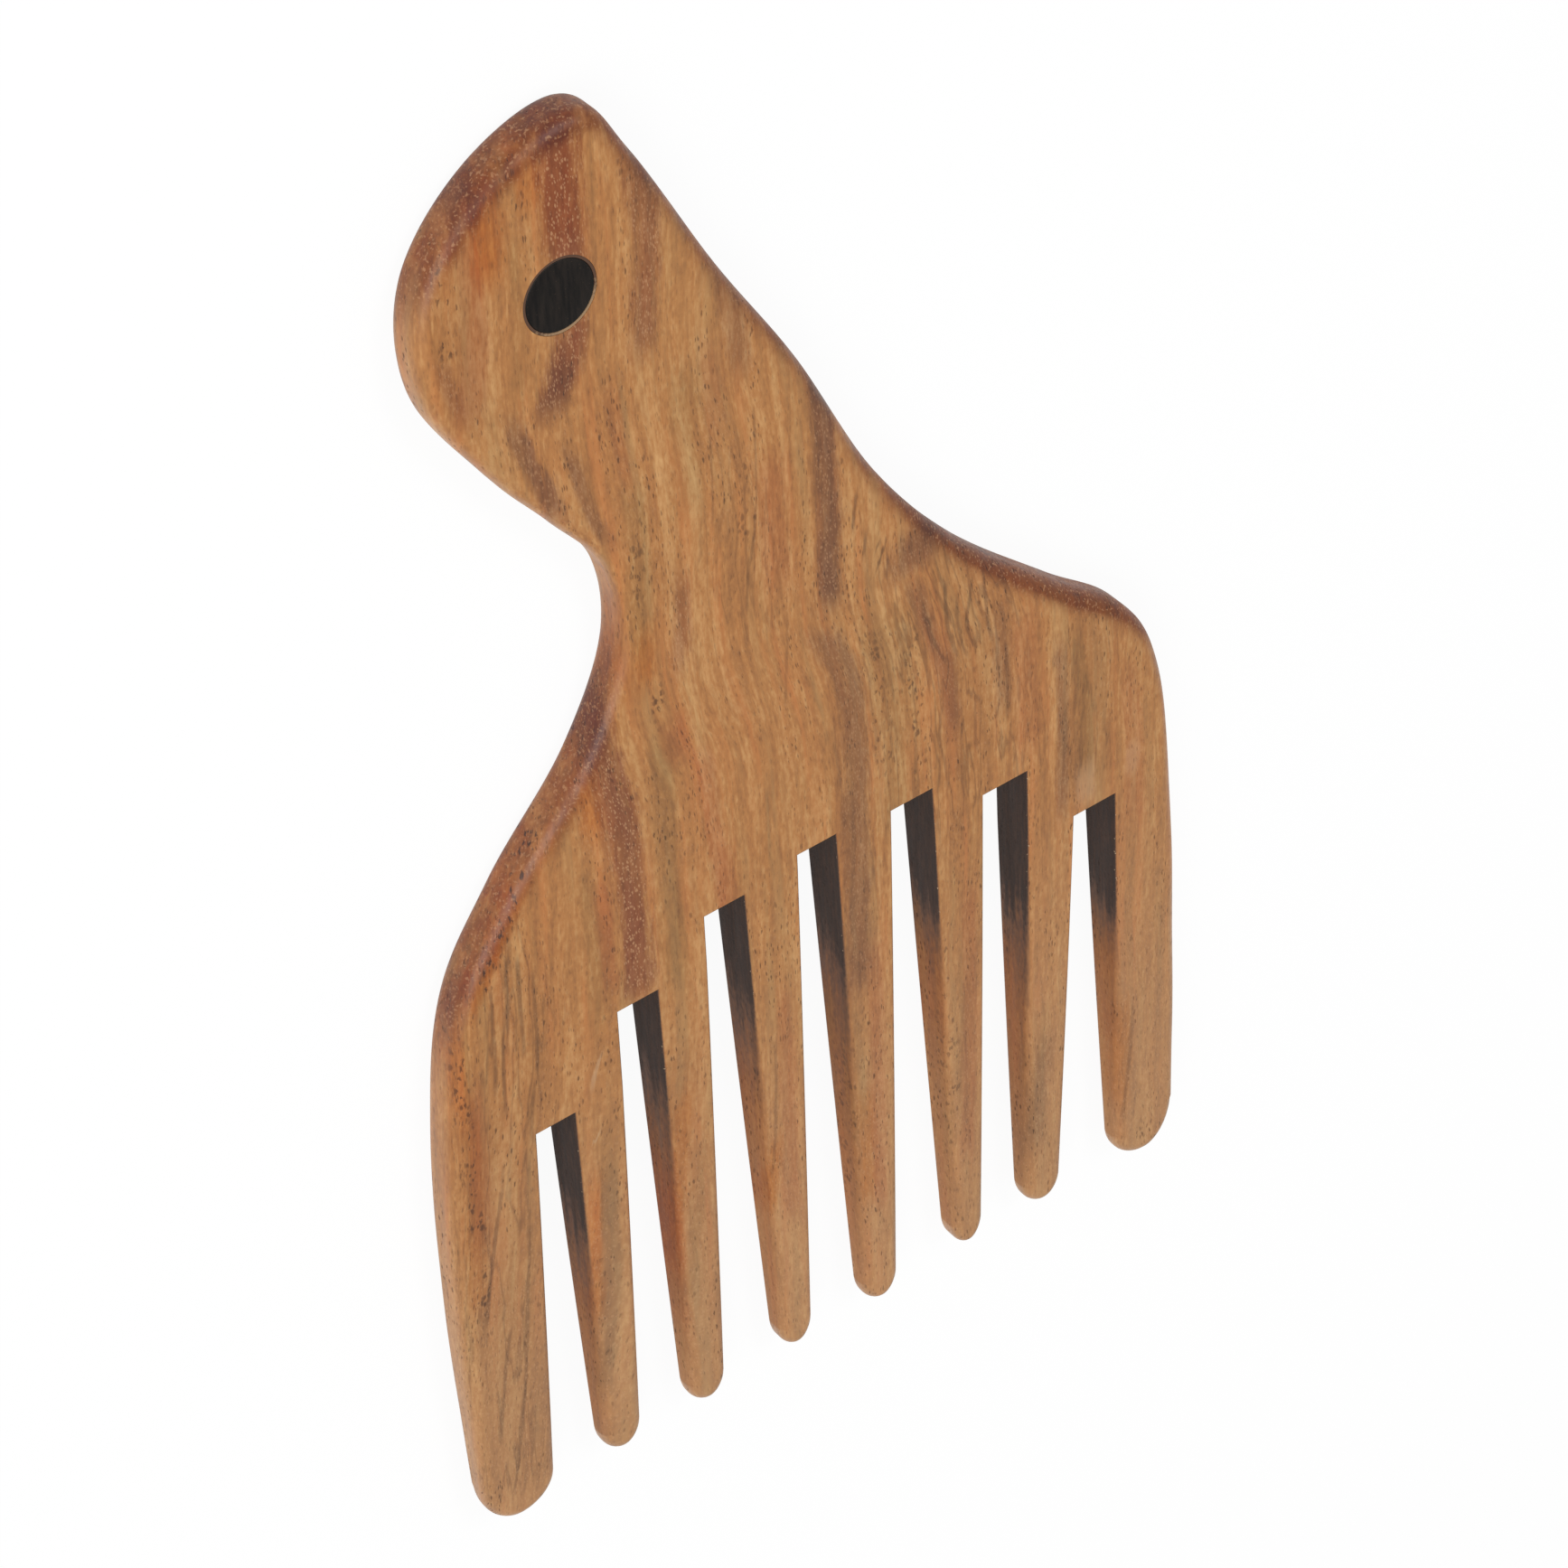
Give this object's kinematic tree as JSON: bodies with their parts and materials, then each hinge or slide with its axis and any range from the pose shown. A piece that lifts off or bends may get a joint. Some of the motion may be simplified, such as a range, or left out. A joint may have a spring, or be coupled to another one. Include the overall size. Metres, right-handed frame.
{
  "type": "wooden hair comb",
  "caption": "Flat wide-tooth hair comb in one piece of wood, with a leaning rounded head as grip, a narrow neck, broad shoulders and a dark round inlay set flush in the head.",
  "frame": {"origin": "middle of the outline's length and width, on the back face", "axes": "+X across the teeth, +Y from the tips to the head, +Z out of the front face"},
  "size_m": [0.0898, 0.1602, 0.005],
  "materials": {
    "comb_wood": "hand sanded and oiled, satin",
    "inlay_wood": "near-black hardwood, satin"
  },
  "bodies": {
    "root": {"comb_body": "comb_wood", "inlay_plug": "inlay_wood"}
  },
  "joints": []
}
